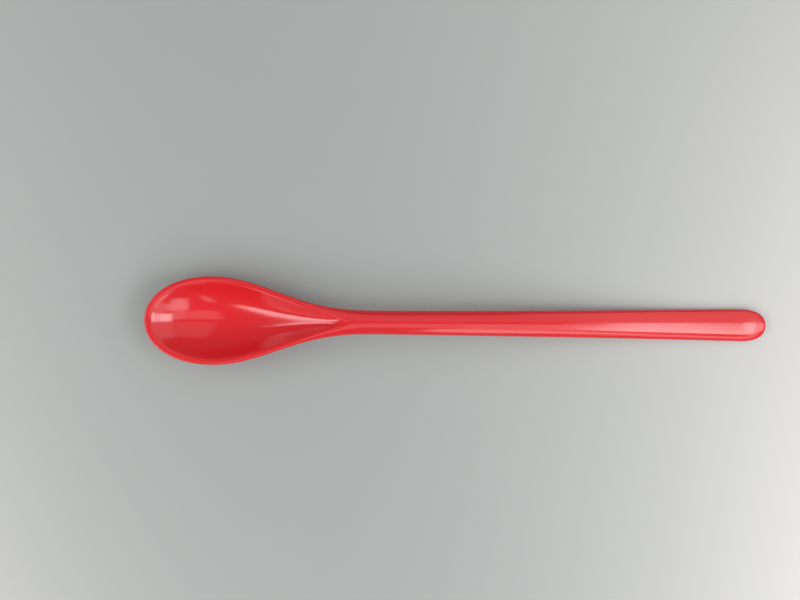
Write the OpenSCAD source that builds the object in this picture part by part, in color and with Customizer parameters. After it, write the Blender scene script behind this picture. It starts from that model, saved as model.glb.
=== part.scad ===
// Long-handled bar spoon, moulded in one piece.
//
// The spoon lies as it rests on a table: on its belly and on the end of its handle.
// +X runs along the handle, away from the bowl, and +Z is up. The origin is on the table,
// under the middle of the spoon's length and width. Lengths are in millimetres.
//
// A "station" is a distance from the bowl's tip along the spoon, from 0 to spoon_len.
// The surface is drawn on ribs. A rib starts on the middle line of the top, goes out over
// the cavity and the rim to the edge, and comes back underneath to the middle line of the
// underside. Ribs fan out round the bowl's deepest point at the front and round the end of
// the handle at the back, and stand square to the length between those two.

/* [Overall] */
// Length from the bowl's tip to the handle's end
spoon_len = 250; // [200:1:300]
// Height of the neck's top above the table
neck_z = 15.6; // [12.5:0.1:20]

/* [Bowl] */
// Width of the bowl over its rim
bowl_w = 34.9; // [28:0.1:42]
// Distance from the tip to the widest place, where the bowl is also deepest
widest_at = 26.8; // [22:0.1:34]
// Distance from the tip to the narrowest place of the neck
neck_at = 93.5; // [87:0.5:115]
// How full the bowl's front is in plan: 2 is an ellipse
front_power = 2.1; // [2:0.05:2.5]
// How quickly the bowl draws in towards the neck
taper_power = 3.1; // [2.4:0.05:3.6]

/* [Cavity] */
// Depth of the cavity below the rim
cavity_depth = 9.6; // [7:0.1:12]
// Width of the rim, from the outer edge to the edge of the cavity
lip_w = 2.3; // [1.8:0.1:3.2]
// Distance from the tip to the point where the cavity runs out at the neck
cavity_end = 79; // [66:0.5:83]
// How softly the rim rolls into the cavity
lip_roll = 0.55; // [0.2:0.05:1]
// Thickness of the floor under the deepest point
floor_t = 2.4; // [1.5:0.1:4]

/* [Underside] */
// How square the bowl's outer wall is: lower is squarer
wall_power = 0.74; // [0.6:0.01:0.85]

/* [Neck and handle] */
// Width of the neck
neck_w = 9.4; // [7:0.1:12]
// Thickness of the neck
neck_t = 6.2; // [4.5:0.1:8]
// Width of the handle just before its rounded end
end_w = 13; // [9:0.1:18]
// Thickness of the handle at its end
end_t = 3.9; // [2.5:0.1:6]
// Length of the rounding at the handle's end
end_round = 10.6; // [6:0.1:16]
// How square the handle's end is in plan: 2 is an ellipse
end_power = 2.3; // [2:0.05:3]

/* [Fineness] */
// Ribs in the quarter turn on each side of the bowl's front
front_ribs = 13; // [8:1:20]
// Ribs from the widest place to the neck
bowl_ribs = 26; // [16:1:40]
// Ribs along the handle
handle_ribs = 20; // [12:1:36]
// Ribs in the quarter turn on each side of the handle's end
end_ribs = 8; // [5:1:14]

/* [Hidden] */

spoon_red = [0.84, 0.05, 0.06];

corner_r = 0.9;          // rounding of the rim's outer edge
crown_share = 0.53;      // share of the handle's thickness that is above its side line
widening_power = 1.4;    // how late the handle widens: 1 is straight from the neck
neck_start = 0.42;       // share of the way to the neck at which the rim starts to round up
neck_lip = 0.5;          // how much wider the rim has become at the neck
front_slope = 0.80;      // steepness of the cavity's middle line at the front
back_slope = 0.30;       // steepness of the cavity's middle line where it runs out
floor_bend = 0.020;      // bend of the cavity's floor at its deepest point
run_out_power = 8;       // how late the cavity's sides close to its point
under_power = 2.5;       // how boxy the handle's underside is: 2 is an ellipse
guide_least = 0.13;      // least share of the half width at which the ribs' guide line runs
guide_grip = 0.55;       // the same share along the handle
guide_run = 14;          // length over which the guide line opens again behind the cavity

// Where the points of a rib lie: as shares of the way from the middle line to the guide line,
// as angles of the roll from the guide line to the edge, and as shares of the way back.
cavity_steps = [0, 0.22, 0.42, 0.6, 0.75, 0.87, 0.95, 1];
roll_angles = [24, 46, 64, 79, 90];
under_steps = [0.96, 0.87, 0.73, 0.56, 0.38, 0.22, 0.09, 0];

rim_z = cavity_depth + floor_t;
half_bowl = bowl_w / 2;
half_neck = neck_w / 2;
half_cavity = half_bowl - lip_w;
front_len = widest_at - lip_w;
run_len = cavity_end - widest_at;
draw_len = neck_at - widest_at;
end_at = spoon_len - end_round;

function clamp01(t) = min(max(t, 0), 1);
function mix(a, b, t) = a + (b - a) * t;
// Goes from 0 to 1 with no slope and no bend at either end
function ease(t) = let (u = clamp01(t)) u * u * u * (u * (6 * u - 15) + 10);
// A dome of height 1 over shares 0 to 1
function dome(t, round_power, height_power) =
    pow(max(0, 1 - pow(clamp01(t), round_power)), height_power);
// The larger of d and nothing, with the corner between the two rolled over
function rolled(d) = (d + sqrt(d * d + lip_roll * lip_roll)) / 2;
// The height at x of a curve that leaves (0, v0) level, with the bend k0, and comes down to
// nothing at x = span with the slope m1 and no bend
function fair(x, span, v0, k0, m1) =
    let (t = x / span, a = -v0 - k0 * span * span / 2)
    let (b = (m1 - k0 * span) * span, c = -k0 * span * span)
    let (c3 = 10 * a - 4 * b + c / 2, c4 = 7 * b - 15 * a - c, c5 = 6 * a - 3 * b + c / 2)
    v0 + k0 * x * x / 2 + t * t * t * (c3 + t * (c4 + t * c5));

// How far a station has come from the open bowl, 0, to the round neck, 1
function neckness(s) =
    ease(((s - widest_at) / draw_len - neck_start) / (1 - neck_start));
// How far a station has come along the handle, from 0 at the neck to 1 where its rounded end
// starts and its underside meets the table
function along(s) = clamp01((s - neck_at) / (end_at - neck_at));

// Half the width at a station between the widest place and the handle's rounded end
function bowl_half(s) =
    half_neck + (half_bowl - half_neck) * pow(cos(90 * (s - widest_at) / draw_len), taper_power);
function handle_half(s) =
    mix(half_neck, end_w / 2, pow((s - neck_at) / (end_at - neck_at), widening_power));
function half_width(s) = s < neck_at ? bowl_half(s) : handle_half(s);

// Thickness of the handle, and the height of its underside, at a station
function handle_t(s) = mix(neck_t, end_t, ease(along(s)));
function handle_base(s) = (neck_z - neck_t) * (1 + cos(180 * along(s))) / 2;
// Height of the middle line of the top, with the cavity filled in
function top_z(s) =
    s < neck_at
    ? mix(rim_z, neck_z, ease((s - widest_at) / draw_len))
    : handle_base(s) + handle_t(s);
// Height of the rounding from the side line up: a small corner on the rim, the handle's crown
function crown_h(s) = mix(corner_r, crown_share * handle_t(s), neckness(s));
function side_z(s) = top_z(s) - crown_h(s);

// Half the width of the cavity, squared, which goes on below zero past the cavity's ends
function cavity_sq(s) =
    s < widest_at
    ? half_cavity * half_cavity * (1 - pow((widest_at - s) / front_len, front_power))
    : let (side = half_width(s) - lip_w - neck_lip * neckness(s))
      side * side * (1 - pow((s - widest_at) / run_len, run_out_power));
// Depth of the cavity on the middle line
function middle_depth(s) =
    s < widest_at
    ? fair(widest_at - s, front_len, cavity_depth, -floor_bend, -front_slope)
    : fair(s - widest_at, run_len, cavity_depth, -floor_bend, -back_slope);
// Depth over squared half width, held steady at the two ends, where both come to nothing
function depth_ratio(s) =
    let (t = min(max(s, lip_w + 0.5), cavity_end - 0.5)) middle_depth(t) / cavity_sq(t);
// Depth of the cavity at a place in plan
function cavity_at(p) =
    p.x > neck_at ? 0
    : rolled(depth_ratio(p.x) * (cavity_sq(p.x) - p.y * p.y))
      * (1 - ease((p.x - cavity_end) / (neck_at - cavity_end)));

// Depth of the underside below the side line, on the middle line of a square rib
belly_depth = side_z(widest_at);
function under_depth(s) =
    let (thin = (1 - crown_share) * handle_t(s), share = clamp01((s - widest_at) / draw_len))
    thin + (belly_depth - thin) * pow(cos(90 * share), 2);

// Heights of the top and the underside at the plan point p of a rib. s is the rib's station,
// reach the distance from its middle to its edge, and out the share of it at which p lies.
function top_at(p, s, reach, out) =
    let (corner = mix(corner_r, reach, neckness(s)))
    let (turn = max(0, 1 - (1 - out) * reach / corner))
    side_z(p.x) + crown_h(p.x) * dome(turn, 2, 0.5) - cavity_at(p);
function under_at(p, s, out) =
    let (k = neckness(s))
    let (body = dome(out, mix(2, under_power, k), mix(wall_power, 1 / under_power, k)))
    side_z(p.x) - under_depth(s) * body;

// A rib in plan: its station, its point on the edge, and its point on the guide line
function front_rib(a) =
    let (ahead = pow(cos(a), 2 / front_power), aside = pow(sin(a), 2 / front_power))
    [widest_at, [widest_at * (1 - ahead), half_bowl * aside],
     [widest_at - front_len * ahead, half_cavity * aside]];
function square_rib(s) =
    let (open = ease((s - cavity_end) / guide_run))
    let (least = mix(guide_least, guide_grip, open) * half_width(s))
    [s, [s, half_width(s)], [s, max(least, s < cavity_end ? sqrt(max(0, cavity_sq(s))) : 0)]];
function end_rib(a) =
    let (s = end_at + end_round * pow(sin(a), 2 / end_power))
    let (edge = [s, handle_half(s) * pow(cos(a), 2 / end_power)])
    [end_at, edge, mix([end_at, 0], edge, guide_grip)];

ribs = concat(
    [for (i = [0 : front_ribs - 1]) front_rib(90 * i / front_ribs)],
    [for (i = [0 : bowl_ribs]) square_rib(mix(widest_at, neck_at, i / bowl_ribs))],
    [for (i = [1 : handle_ribs]) square_rib(mix(neck_at, end_at, i / handle_ribs))],
    [for (i = [1 : end_ribs]) end_rib(90 * i / end_ribs)]);

// The points of a rib from the top's middle line, round the edge, to the underside's
function rib_points(rib) =
    let (mid = [rib[0], 0], edge = rib[1], guide = rib[2], reach = norm(edge - mid))
    let (over = concat(
        [for (t = cavity_steps) mix(mid, guide, t)],
        [for (a = roll_angles) mix(guide, edge, sin(a))]))
    concat(
        [for (p = over) [p.x, p.y, top_at(p, rib[0], reach, norm(p - mid) / reach)]],
        [for (t = under_steps) let (p = mix(mid, edge, t)) [p.x, p.y, under_at(p, rib[0], t)]]);

per_rib = len(cavity_steps) + len(roll_angles) + len(under_steps);
last_rib = len(ribs) - 1;
front_hub = front_ribs;
end_hub = last_rib - end_ribs;

// The number of point j of rib i on one side: 0 is the +Y side and 1 is the -Y side. Points on
// a middle line are shared by the two sides, and fanned ribs share those of their hub.
function hub(i) = min(max(i, front_hub), end_hub);
function number(i, j, side) =
    let (on_line = j == 0 || j == per_rib - 1)
    let (mirrored = side == 1 && !on_line && i != 0 && i != last_rib)
    ((on_line ? hub(i) : i) * 2 + (mirrored ? 1 : 0)) * per_rib + j;
// A patch of the surface as one or two triangles, wound so that they face outwards
function patch(a, b, c, d, side) = side == 0 ? [[a, b, c], [a, c, d]] : [[c, b, a], [d, c, a]];
function whole(f) = f[0] != f[1] && f[1] != f[2] && f[2] != f[0];

module spoon() {
    points = [for (rib = ribs, side = [1, -1], p = rib_points(rib)) [p.x, side * p.y, p.z]];
    faces = [
        for (side = [0, 1], i = [0 : last_rib - 1], j = [0 : per_rib - 2])
        for (f = patch(number(i, j, side), number(i, j + 1, side),
                       number(i + 1, j + 1, side), number(i + 1, j, side), side))
        if (whole(f)) f];
    color(spoon_red) translate([-spoon_len / 2, 0, 0]) polyhedron(points, faces, convexity = 6);
}

spoon();
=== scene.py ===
# %% [markdown]
# A bar spoon moulded in one piece
#
# The real spoon is a single red moulding: a deep bowl, a slim neck and a long handle that widens
# to a flat rounded end. There is nothing to take apart, so there is one piece to model. All the
# care goes into one smooth skin and one glossy finish, because a polished surface shows every
# uneven place as a wobble in its reflections.

import math

import bmesh
import bpy
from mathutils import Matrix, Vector


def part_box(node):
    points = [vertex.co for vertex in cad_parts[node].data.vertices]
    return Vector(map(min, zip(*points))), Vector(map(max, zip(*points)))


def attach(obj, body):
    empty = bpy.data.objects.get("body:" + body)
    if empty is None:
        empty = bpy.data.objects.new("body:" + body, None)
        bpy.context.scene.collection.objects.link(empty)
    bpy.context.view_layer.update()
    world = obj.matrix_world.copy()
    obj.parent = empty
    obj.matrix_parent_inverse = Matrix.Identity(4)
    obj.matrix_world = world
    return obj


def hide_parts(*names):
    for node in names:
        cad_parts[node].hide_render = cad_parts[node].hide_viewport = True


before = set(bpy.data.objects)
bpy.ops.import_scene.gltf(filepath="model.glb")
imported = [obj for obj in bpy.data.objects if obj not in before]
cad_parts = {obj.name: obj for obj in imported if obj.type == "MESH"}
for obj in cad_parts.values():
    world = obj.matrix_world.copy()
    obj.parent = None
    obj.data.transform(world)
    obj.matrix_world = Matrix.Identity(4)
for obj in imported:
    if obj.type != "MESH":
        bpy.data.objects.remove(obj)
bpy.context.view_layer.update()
low, high = (Vector(corner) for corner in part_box("spoon"))
spoon_len = high.x - low.x
print("spoon length, width, height:", [round(v, 4) for v in high - low])

# %% [markdown]
# Sizes
#
# The overall sizes come from the frame, so the skin can't outgrow it. The others are the design's
# own: where the bowl is widest, how deep its cavity is, how thick the neck is. They are in metres,
# like everything in Blender. A "station" is a distance from the bowl's tip along the spoon. Names
# that end in t, w, r and z are a thickness, a width, a radius and a height.

# %% Sizes of the bowl
half_bowl = (high.y - low.y) / 2
widest_at = 0.0268      # station where the bowl is widest and its cavity deepest
front_power = 2.1       # roundness of the bowl's front: 2 is an ellipse, more is squarer
taper_power = 3.1       # how soon the bowl draws in towards the neck

cavity_depth = 0.0096
lip_w = 0.0023          # width of the rim
cavity_end = 0.079      # station where the cavity has run out
lip_roll = 0.00055      # how softly the rim rolls into the cavity
floor_t = 0.0024
wall_power = 0.74       # fullness of the wall below the rim
edge_gap = 0.0005       # how far from its ends the cavity's formula is held

front_slope = 0.80      # slope of the cavity's floor where it meets the rim at the tip
back_slope = 0.30       # and where it runs out towards the neck
floor_bend = 20.0       # bend of the cavity's floor at its deepest, per metre
run_out_power = 8       # how late the cavity narrows before it runs out

rim_z = cavity_depth + floor_t
half_cavity = half_bowl - lip_w
front_len = widest_at - lip_w
run_len = cavity_end - widest_at
print("rim height:", rim_z, "cavity from", round(lip_w, 4), "to", cavity_end)

# %% Sizes of the neck and the handle
neck_at = 0.0935        # station where the spoon is slimmest and stands highest
neck_z = high.z
half_neck = 0.0047
neck_t = 0.0062
half_end = 0.0065
end_t = 0.0039
end_round = 0.0106      # length of the rounded end
end_power = 2.3         # roundness of the end, seen from above
widening_power = 1.4    # above 1, the handle widens late

draw_len = neck_at - widest_at
end_at = spoon_len - end_round
print("neck at", neck_at, "and the rounded end from", round(end_at, 4))

# %% How the bowl's section turns into the handle's
corner_r = 0.0009       # rounding of the rim's outer edge
crown_share = 0.53      # share of the handle's thickness above its side line
under_power = 2.5       # roundness of the handle's underside
neck_start = 0.42       # share of the way to the neck where the change starts
neck_lip = 0.0005       # how much wider the lip gets at the neck

guide_least = 0.13      # least share of the half width inside the guide line
guide_grip = 0.55       # the same along the handle
guide_run = 0.014       # length over which it changes
print("section starts to change at", round(widest_at + neck_start * draw_len, 4))

# %% [markdown]
# Curves that have no corners
#
# A mirror-like surface shows a sudden change of bend as clearly as a scratch. So every change of
# shape along this spoon uses an easing curve that starts and ends with no slope and no bend, and
# the rim rolls into the cavity over a soft maximum and not a hard one.

# %% Smooth curves
def clamp01(t):
    return min(max(t, 0.0), 1.0)


def mix(a, b, t):
    return a + (b - a) * t


def ease(t):
    u = clamp01(t)
    return u * u * u * (u * (6 * u - 15) + 10)


def dome(t, round_power, height_power):
    return max(0.0, 1 - clamp01(t) ** round_power) ** height_power


def rolled(d):
    return (d + math.sqrt(d * d + lip_roll * lip_roll)) / 2


def fair(x, span, v0, k0, m1):
    """Leaves (0, v0) level with the bend k0, and comes down to nothing at span, with slope m1."""
    t = x / span
    a = -v0 - k0 * span * span / 2
    b = (m1 - k0 * span) * span
    c = -k0 * span * span
    c3, c4, c5 = 10 * a - 4 * b + c / 2, 7 * b - 15 * a - c, 6 * a - 3 * b + c / 2
    return v0 + k0 * x * x / 2 + t ** 3 * (c3 + t * (c4 + t * c5))


print("ease at a quarter, half and three quarters:", [round(ease(v), 3) for v in (0.25, 0.5, 0.75)])

# %% [markdown]
# The lines along the spoon
#
# Seen from the side, a spoon is a few lines: the rim that climbs to the neck, the handle that
# comes down to the table, and the belly. Each is a function of the station, so the skin can be
# as fine as it needs to be.

# %% Lines along the length
def neckness(s):
    return ease(((s - widest_at) / draw_len - neck_start) / (1 - neck_start))


def along(s):
    return clamp01((s - neck_at) / (end_at - neck_at))


def handle_half_width(s):
    return mix(half_neck, half_end, ((s - neck_at) / (end_at - neck_at)) ** widening_power)


def half_width(s):
    if s < neck_at:
        turn = math.cos(math.pi / 2 * (s - widest_at) / draw_len)
        return half_neck + (half_bowl - half_neck) * turn ** taper_power
    return handle_half_width(s)


def handle_t(s):
    return mix(neck_t, end_t, ease(along(s)))


def top_z(s):
    if s < neck_at:
        return mix(rim_z, neck_z, ease((s - widest_at) / draw_len))
    return (neck_z - neck_t) * (1 + math.cos(math.pi * along(s))) / 2 + handle_t(s)


def crown_h(s):
    return mix(corner_r, crown_share * handle_t(s), neckness(s))


def side_z(s):
    return top_z(s) - crown_h(s)


def under_depth(s):
    thin = (1 - crown_share) * handle_t(s)
    share = clamp01((s - widest_at) / draw_len)
    return thin + (side_z(widest_at) - thin) * math.cos(math.pi / 2 * share) ** 2


print("height of the top at the tip, neck and end:",
      [round(top_z(s), 4) for s in (0, neck_at, end_at)])

# %% [markdown]
# The cavity
#
# The hollow is one bowl-shaped function of a place in plan. Its depth over its squared half width
# stays steady across a section, which gives every section the same soft, rounded hollow.

# %% The hollow of the bowl
def cavity_sq(s):
    if s < widest_at:
        return half_cavity ** 2 * (1 - ((widest_at - s) / front_len) ** front_power)
    side = half_width(s) - lip_w - neck_lip * neckness(s)
    return side * side * (1 - ((s - widest_at) / run_len) ** run_out_power)


def middle_depth(s):
    if s < widest_at:
        return fair(widest_at - s, front_len, cavity_depth, -floor_bend, -front_slope)
    return fair(s - widest_at, run_len, cavity_depth, -floor_bend, -back_slope)


def cavity_at(s, y):
    if s > neck_at:
        return 0.0
    t = min(max(s, lip_w + edge_gap), cavity_end - edge_gap)
    fade = 1 - ease((s - cavity_end) / (neck_at - cavity_end))
    return rolled(middle_depth(t) / cavity_sq(t) * (cavity_sq(s) - y * y)) * fade


def top_at(s, y, rib_s, reach, out):
    corner = mix(corner_r, reach, neckness(rib_s))
    turn = max(0.0, 1 - (1 - out) * reach / corner)
    return side_z(s) + crown_h(s) * dome(turn, 2, 0.5) - cavity_at(s, y)


def under_at(s, rib_s, out):
    k = neckness(rib_s)
    body = dome(out, mix(2, under_power, k), mix(wall_power, 1 / under_power, k))
    return side_z(s) - under_depth(rib_s) * body


print("cavity depth at its deepest:", round(cavity_at(widest_at, 0), 5))

# %% [markdown]
# A blank to shape
#
# Stretching a ball or a cylinder would bunch its faces at the tip. This blank is a long disc whose
# faces already run the way the spoon does: a fan round the front of the bowl, straight courses
# along the length, and a fan round the handle's end. One rib is drawn as a chain of vertices, Spin
# turns it round the bowl, Extrude carries the loop along, and Spin closes the end.

# %% The rib that is spun and extruded
cavity_steps = [0, 0.03, 0.08, 0.15, 0.24, 0.34, 0.44, 0.54, 0.64, 0.73, 0.81, 0.88, 0.94, 0.98, 1]
roll_turns = [14, 27, 39, 50, 60, 69, 77, 84, 90]
under_steps = [0.98, 0.94, 0.88, 0.8, 0.7, 0.59, 0.47, 0.35, 0.23, 0.12, 0.04, 0]

front_ribs, bowl_ribs, handle_ribs, end_ribs = 24, 52, 44, 14
row_drop = 0.05         # drop of the blank from one row to the next
guide_reach = 0.6       # place of the guide line on the blank, whose half width is 1
weld = 1e-5             # vertices nearer to each other than this become one

rib_reach = [guide_reach * share for share in cavity_steps]
rib_reach += [mix(guide_reach, 1, math.sin(math.radians(a))) for a in roll_turns]
rib_reach += under_steps

blank = bmesh.new()
chain = [blank.verts.new((0, r, -row * row_drop)) for row, r in enumerate(rib_reach)]
links = [blank.edges.new(pair) for pair in zip(chain, chain[1:])]
bmesh.ops.spin(blank, geom=chain + links, cent=(0, 0, 0), axis=(0, 0, 1), dvec=(0, 0, 0),
               angle=math.pi, steps=2 * front_ribs, use_merge=False, use_duplicate=False)
bmesh.ops.remove_doubles(blank, verts=blank.verts, dist=weld)
print("front fan:", len(blank.verts), "vertices,", len(blank.faces), "faces")

# %% Carry the loop along and close the end
for _ in range(bowl_ribs + handle_ribs):
    loop = [edge for edge in blank.edges if edge.is_boundary]
    grown = bmesh.ops.extrude_edge_only(blank, edges=loop)["geom"]
    moved = [g for g in grown if isinstance(g, bmesh.types.BMVert)]
    bmesh.ops.translate(blank, verts=moved, vec=(1, 0, 0))

last_x = float(bowl_ribs + handle_ribs)
tiny = 1e-6
half_loop = [e for e in blank.edges if e.is_boundary and min(v.co.y for v in e.verts) > -tiny]
corners = list({v for edge in half_loop for v in edge.verts})
bmesh.ops.spin(blank, geom=corners + half_loop, cent=(last_x, 0, 0), axis=(0, 0, 1),
               dvec=(0, 0, 0), angle=-math.pi, steps=2 * end_ribs, use_merge=False,
               use_duplicate=False)
bmesh.ops.remove_doubles(blank, verts=blank.verts, dist=weld)
open_edges = sum(1 for edge in blank.edges if not edge.is_manifold)
print("blank:", len(blank.verts), "vertices,", len(blank.faces), "faces,", open_edges, "open edges")

# %% [markdown]
# Shaping the blank
#
# Each vertex knows its rib from where it is along the blank, and its row from how far down the rib
# it is. It moves to the place that the spoon's curves give for that rib and row. Nothing is added
# or taken away, so the even courses of faces stay.

# %% Ribs in plan
def front_rib(turn):
    ahead = max(0.0, math.cos(turn)) ** (2 / front_power)
    aside = max(0.0, math.sin(turn)) ** (2 / front_power)
    edge = Vector((widest_at * (1 - ahead), half_bowl * aside))
    guide = Vector((widest_at - front_len * ahead, half_cavity * aside))
    return widest_at, edge, guide


def square_rib(s):
    grip = mix(guide_least, guide_grip, ease((s - cavity_end) / guide_run))
    inner = math.sqrt(max(0.0, cavity_sq(s))) if s < cavity_end else 0.0
    return s, Vector((s, half_width(s))), Vector((s, max(grip * half_width(s), inner)))


def end_rib(turn):
    s = end_at + end_round * max(0.0, math.sin(turn)) ** (2 / end_power)
    edge = Vector((s, handle_half_width(s) * max(0.0, math.cos(turn)) ** (2 / end_power)))
    return end_at, edge, Vector((end_at, 0)).lerp(edge, guide_grip)


def rib_of(co):
    """The rib that a place on the blank belongs to."""
    if co.x < -tiny:
        return front_rib(math.atan2(abs(co.y), -co.x))
    if co.x > last_x + tiny:
        return end_rib(math.atan2(co.x - last_x, abs(co.y)))
    if co.x <= bowl_ribs:
        return square_rib(mix(widest_at, neck_at, co.x / bowl_ribs))
    return square_rib(mix(neck_at, end_at, (co.x - bowl_ribs) / handle_ribs))


# %% Move every vertex to the spoon's surface
def shaped(co):
    row = round(-co.z / row_drop)
    rib_s, edge, guide = rib_of(co)
    middle = Vector((rib_s, 0))
    reach = (edge - middle).length
    if row < len(cavity_steps):
        p = middle.lerp(guide, cavity_steps[row])
    elif row < len(cavity_steps) + len(roll_turns):
        p = guide.lerp(edge, math.sin(math.radians(roll_turns[row - len(cavity_steps)])))
    else:
        share = under_steps[row - len(cavity_steps) - len(roll_turns)]
        p = middle.lerp(edge, share)
        return p, under_at(p.x, rib_s, share)
    return p, top_at(p.x, p.y, rib_s, reach, (p - middle).length / reach)


for vert in blank.verts:
    side = -1 if vert.co.y < 0 else 1
    place, z = shaped(vert.co)
    vert.co = (low.x + place.x, side * place.y, z)

bmesh.ops.recalc_face_normals(blank, faces=blank.faces)
for face in blank.faces:
    face.smooth = True
spoon_mesh = bpy.data.meshes.new("spoon_moulding")
blank.to_mesh(spoon_mesh)
print("volume in cubic centimetres:", round(blank.calc_volume(signed=True) * 1e6, 2))
blank.free()

# %% [markdown]
# The skin
#
# One level of subdivision rounds off what is left of the facets. The courses are already fine, so
# the skin hardly shrinks away from the curves it was shaped to.

# %% The spoon as an object
spoon = bpy.data.objects.new("spoon_moulding", spoon_mesh)
bpy.context.scene.collection.objects.link(spoon)
skin = spoon.modifiers.new("skin", "SUBSURF")
skin.levels = 1
skin.render_levels = 1
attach(spoon, "root")
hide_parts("spoon")
print("pieces:", spoon.name)

# %% [markdown]
# Writing materials as sums
#
# A node graph is easier to read as arithmetic. This small class wraps a socket, so that adding or
# multiplying two of them adds the Math node, and one method adds any other node. A Mix node keeps
# the sockets of all its types, so those for colour are named here by their place in the list.

# %% A wire that can be added and multiplied
mix_share, mix_low, mix_high = 0, 6, 7
mixed = 2


class Wire:
    def __init__(self, tree, socket):
        self.tree = tree
        self.socket = socket

    def math(self, operation, a, b):
        made = Bench(self.tree).node("ShaderNodeMath", {"operation": operation}, {0: a, 1: b})
        return made.out()

    def __add__(self, other):
        return self.math("ADD", self, other)

    def __radd__(self, other):
        return self.math("ADD", other, self)

    def __mul__(self, other):
        return self.math("MULTIPLY", self, other)

    def __rmul__(self, other):
        return self.math("MULTIPLY", other, self)


class Made:
    def __init__(self, tree, node):
        self.tree = tree
        self.node = node

    def out(self, name=0):
        return Wire(self.tree, self.node.outputs[name])


class Bench:
    """Adds nodes to one material's tree."""

    def __init__(self, tree):
        self.tree = tree

    def node(self, kind, settings=None, inputs=None):
        made = self.tree.nodes.new(kind)
        for key, value in (settings or {}).items():
            if key == "stops":
                for stop, (at, level) in zip(made.color_ramp.elements, value):
                    stop.position = at
                    stop.color = (level, level, level, 1)
            else:
                setattr(made, key, value)
        for name, value in (inputs or {}).items():
            if isinstance(value, Wire):
                self.tree.links.new(value.socket, made.inputs[name])
            else:
                made.inputs[name].default_value = value
        return Made(self.tree, made)


def new_material(name):
    material = bpy.data.materials.new(name)
    material.use_nodes = True
    material.node_tree.nodes.clear()
    print("material:", name)
    return material, Bench(material.node_tree)


# %% Nodes that both finishes use
def noise(bench, where, scale, detail):
    made = bench.node("ShaderNodeTexNoise", {}, {"Vector": where, "Scale": scale, "Detail": detail})
    return made.out("Fac")


def tint(bench, share, low_colour, high_colour):
    """A colour that goes from the low one to the high one as share goes from 0 to 1."""
    made = bench.node("ShaderNodeMix", {"data_type": "RGBA", "clamp_factor": True}, {
        mix_share: share, mix_low: low_colour, mix_high: high_colour})
    return made.out(mixed)


def spread(bench, value, start, stop, from_level=0.0, to_level=1.0):
    """Goes evenly from one level to the other as value goes from start to stop."""
    made = bench.node("ShaderNodeMapRange", {}, {
        "Value": value, "From Min": start, "From Max": stop,
        "To Min": from_level, "To Max": to_level})
    return made.out()


print("sockets of a colour mix:", mix_share, mix_low, mix_high, "and out of", mixed)

# %% [markdown]
# Red gloss
#
# A polished moulding isn't one flat red. The pigment is a little deeper in some places, the polish
# a little duller where fingers and glasses have touched it, and there are hairlines that run along
# the handle. The surface also waves very slightly, which softens the edge of a highlight.

# %% Pigment
deep_red = (0.56, 0.013, 0.018, 1)
bright_red = (0.63, 0.018, 0.023, 1)

gloss_red, bench = new_material("gloss_red")
where = bench.node("ShaderNodeTexCoord").out("Object")
cloud = noise(bench, where, scale=22.0, detail=2.0)
fine = noise(bench, where, scale=900.0, detail=2.0)
pigment = tint(bench, cloud * 0.8 + fine * 0.2, deep_red, bright_red)
print("pigment between", deep_red[:3], "and", bright_red[:3])

# %% Polish, hairlines and waves
least_roughness = 0.10
along_the_handle = (0.05, 1.0, 1.0)
hairline_stops = [(0.66, 0.0), (0.74, 1.0)]

stretched = bench.node("ShaderNodeMapping", {}, {"Vector": where, "Scale": along_the_handle}).out()
hair = noise(bench, stretched, scale=2600.0, detail=1.0)
hairline = bench.node("ShaderNodeValToRGB", {"stops": hairline_stops}, {"Fac": hair}).out()
smudge = noise(bench, where, scale=70.0, detail=3.0)
dulled = smudge * 0.08 + hairline * 0.05 + least_roughness

wave = noise(bench, where, scale=160.0, detail=1.0)
relief = wave * 0.7 + fine * 0.1 + hairline * -0.05
bumps = bench.node("ShaderNodeBump", {}, {
    "Height": relief, "Strength": 0.04, "Distance": 0.0004}).out()
print("roughness from", least_roughness, "up")

# %% The gloss of the moulding
shell = bench.node("ShaderNodeBsdfPrincipled", {}, {
    "Base Color": pigment, "Roughness": dulled, "Normal": bumps, "IOR": 1.5})
bench.node("ShaderNodeOutputMaterial", {}, {"Surface": shell.out()})
spoon_mesh.materials.append(gloss_red)
print("finish of the spoon:", gloss_red.name)

# %% [markdown]
# The table
#
# A wide sheet of pale grey that reaches four metres each way, so its edge is far off even from a
# low side. Its middle is a touch darker with painted shade, the shade of things held over the
# table, and it is paler round that. Under the lamps it is painted darker again, and it is painted
# palest at its edge, where little light falls. The lamps light the outer sheet unevenly, and these
# two painted tones make up for that.

# %% A pale floor
half_sheet = 4.0

sheet = bmesh.new()
bmesh.ops.create_grid(sheet, x_segments=2, y_segments=2, size=half_sheet)
floor_mesh = bpy.data.meshes.new("table_sheet")
sheet.to_mesh(floor_mesh)
sheet.free()
table = bpy.data.objects.new("table_sheet", floor_mesh)
bpy.context.scene.collection.objects.link(table)
print("sheet:", 2 * half_sheet, "metres wide")

# %% The painted shade pool in the middle of the sheet
# The dark middle is painted shade, not a tone of the sheet itself.
shade_pool_grey = (0.307, 0.325, 0.317, 1)
pale_grey = (0.57, 0.56, 0.54, 1)
shade_pool_x = 0.07           # how far towards the bowl the pool is darkest
shade_pool_slant = 0.2        # how far that place shifts along x for each metre of y
near_y, far_y = -0.15, 0.15
near_rate, far_rate = 28.0, 7.5     # how fast the sheet pales along x, at near_y and far_y
rate_along_y = 3        # and along y

paper, bench = new_material("pale_paper")
where = bench.node("ShaderNodeTexCoord").out("Object")
apart = bench.node("ShaderNodeSeparateXYZ", {}, {"Vector": where})
x, y = apart.out("X"), apart.out("Y")
from_middle = x + y * shade_pool_slant + shade_pool_x
rate = spread(bench, y, near_y, far_y, near_rate, far_rate)
paleness = from_middle * from_middle * rate + y * y * rate_along_y
mottle = noise(bench, where, scale=9.0, detail=2.0) * 0.06
shade_pool = tint(bench, paleness + mottle, shade_pool_grey, pale_grey)
print("the pool is darkest at x =", -shade_pool_x)
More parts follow.
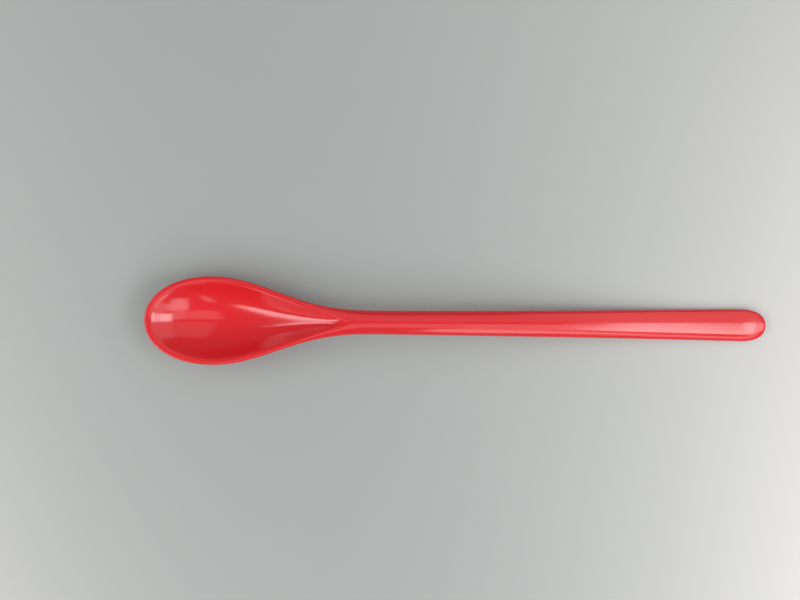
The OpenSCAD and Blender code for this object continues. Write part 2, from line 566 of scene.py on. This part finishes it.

# %% Painted tones under the lamps and at the edge
# Painted shade darkens the sheet under the lamps, and painted light makes its edge palest, to even
# out the lamps' light.
shade_under_lamps_grey = (0.36, 0.365, 0.358, 1)
light_at_edge_grey = (0.78, 0.78, 0.77, 1)
lamps_from, lamps_full = 0.05, 0.40     # squared distances from the middle of the spoon
edge_from, edge_full = 0.8, 4.0

distance_sq = x * x + y * y
shade_under_lamps = tint(bench, spread(bench, distance_sq, lamps_from, lamps_full), shade_pool, shade_under_lamps_grey)
whole_sheet = tint(bench, spread(bench, distance_sq, edge_from, edge_full), shade_under_lamps, light_at_edge_grey)
matt = bench.node("ShaderNodeBsdfPrincipled", {}, {
    "Base Color": whole_sheet, "Roughness": 0.75, "IOR": 1.4})
bench.node("ShaderNodeOutputMaterial", {}, {"Surface": matt.out()})
floor_mesh.materials.append(paper)
print("finish of the sheet:", paper.name)

# %% [markdown]
# Soft light
#
# The spoon is polished, so its highlights are mirror images of the lamps. Level panels over the
# table give soft shapes and don't glare along it. Bright ones past each end make the highlights of
# the handle's end and of the bowl's back. Dimmer ones in front make the pale patch in the hollow,
# and stay dim because the handle mirrors them too.

# %% A panel that hangs level
panel_z = 0.6


def hung_panel(name, x_span, y_span, glow):
    """A level panel over the table. A mirror shows its glow, however large the panel is."""
    wide, deep = x_span[1] - x_span[0], y_span[1] - y_span[0]
    data = bpy.data.lights.new(name, "AREA")
    data.shape = "RECTANGLE"
    data.size, data.size_y = wide, deep
    data.energy = glow * math.pi * wide * deep
    panel = bpy.data.objects.new(name, data)
    panel.location = (sum(x_span) / 2, sum(y_span) / 2, panel_z)
    panel.visible_camera = False
    bpy.context.scene.collection.objects.link(panel)
    print(name, "size", round(wide, 2), "by", round(deep, 2), "power", round(data.energy, 2))


# %% The panels
hung_panel("end_panel", (0.43, 0.68), (-0.33, 0.04), 8.4)
hung_panel("far_end_panel", (0.68, 1.90), (-0.30, 0.05), 4.0)
hung_panel("corner_panel", (0.56, 1.00), (-1.10, -0.33), 1.8)
hung_panel("bowl_panel", (-0.98, -0.64), (-1.00, 0.40), 7.0)
hung_panel("front_panel", (0.10, 0.56), (-1.80, -0.50), 3.2)
hung_panel("near_panel", (0.17, 0.43), (-0.50, -0.05), 1.6)
hung_panel("middle_panel", (-0.30, 0.17), (-0.43, -0.05), 1.1)
hung_panel("far_panel", (-0.46, -0.34), (-2.40, -1.20), 3.0)
hung_panel("back_panel", (-0.25, 0.42), (0.07, 0.90), 0.6)
hung_panel("back_end_panel", (0.42, 1.10), (0.05, 1.10), 1.1)

# %% The room's own light
room_colour = (0.98, 0.99, 1.0, 1)
room_strength = 0.22

world = bpy.data.worlds.new("pale_room")
world.use_nodes = True
sky = world.node_tree.nodes["Background"]
sky.inputs["Color"].default_value = room_colour
sky.inputs["Strength"].default_value = room_strength
bpy.context.scene.world = world
print("room light:", room_strength)

# %% [markdown]
# The camera
#
# It looks straight down from a little more than the spoon's own length above the table, nearer
# the bowl than the middle of the spoon, and turned a touch from square.

# %% The camera
eye_place = (-0.0243, 0.0089, 0.2672)
eye_turn = 0.0104

eye = bpy.data.cameras.new("eye")
eye.sensor_width = 36.0
eye.lens = 29.25
camera = bpy.data.objects.new("eye", eye)
camera.location = eye_place
camera.rotation_euler = (0, 0, eye_turn)
bpy.context.scene.collection.objects.link(camera)
bpy.context.scene.camera = camera
bpy.context.scene.view_settings.view_transform = "Standard"
print("camera height in metres:", camera.location.z)
